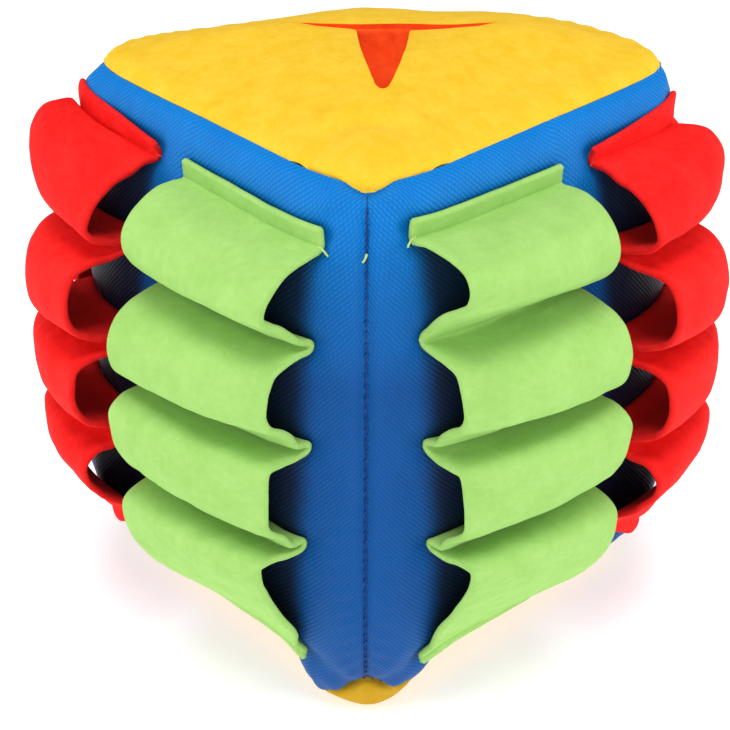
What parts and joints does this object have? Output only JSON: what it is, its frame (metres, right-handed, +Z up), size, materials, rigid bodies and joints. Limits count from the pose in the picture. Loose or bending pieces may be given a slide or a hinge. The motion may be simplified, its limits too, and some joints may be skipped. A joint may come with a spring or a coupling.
{
  "type": "dog snuffle toy",
  "caption": "Stuffed fabric cube for dogs: felt loops down each side hide treats, and tongues in the fleece top close a small lined pocket.",
  "frame": {"origin": "middle of the flat resting face, on the surface the cube stands on", "axes": "+Z up through the mouth of the pocket; +X out of the right side, -Y out of the front side; the V of the cut opens towards the +X -Y corner"},
  "size_m": [0.2116, 0.2116, 0.1895],
  "materials": {
    "blue_oxford": "coated woven oxford cloth, fine ribs, slight sheen",
    "yellow_fleece": "matt polar fleece, short nap",
    "green_fleece": "matt double fleece, short nap",
    "red_fleece": "matt double fleece, short nap",
    "orange_lining": "matt brushed lining",
    "fibre_filling": "loose polyester fibre",
    "blue_thread": "polyester sewing thread",
    "pale_thread": "polyester sewing thread",
    "yellow_thread": "polyester sewing thread"
  },
  "bodies": {
    "cube": {"back_green_hem_thread": "pale_thread", "back_green_strip": "green_fleece", "back_panel": "blue_oxford", "back_red_hem_thread": "pale_thread", "back_red_strip": "red_fleece", "bottom_closing_stitch": "yellow_thread", "bottom_panel": "yellow_fleece", "bottom_seam_thread": "blue_thread", "corner_seam_far": "blue_thread", "corner_seam_left": "blue_thread", "corner_seam_near": "blue_thread", "corner_seam_right": "blue_thread", "front_green_hem_thread": "pale_thread", "front_green_strip": "green_fleece", "front_panel": "blue_oxford", "front_red_hem_thread": "pale_thread", "front_red_strip": "red_fleece", "left_green_hem_thread": "pale_thread", "left_green_strip": "green_fleece", "left_panel": "blue_oxford", "left_red_hem_thread": "pale_thread", "left_red_strip": "red_fleece", "pouch_lining": "orange_lining", "right_green_hem_thread": "pale_thread", "right_green_strip": "green_fleece", "right_panel": "blue_oxford", "right_red_hem_thread": "pale_thread", "right_red_strip": "red_fleece", "stuffing_core": "fibre_filling", "top_panel": "yellow_fleece", "top_seam_thread": "blue_thread"},
    "flap_front": {"flap_front": "yellow_fleece"},
    "flap_right": {"flap_right": "yellow_fleece"}
  },
  "joints": [
    {"name": "flap_front_hinge", "type": "hinge", "parent": "cube", "child": "flap_front", "pos_m": [0.006, -0.02245, 0.18633], "axis": [0.9634, -0.2651, -0.0384], "range_deg": [-55, 90], "stiffness_Nm_per_rad": 0.002},
    {"name": "flap_right_hinge", "type": "hinge", "parent": "cube", "child": "flap_right", "pos_m": [0.02775, -0.0007, 0.18683], "axis": [-0.2013, 0.9781, 0.0536], "range_deg": [-55, 90], "stiffness_Nm_per_rad": 0.002}
  ]
}
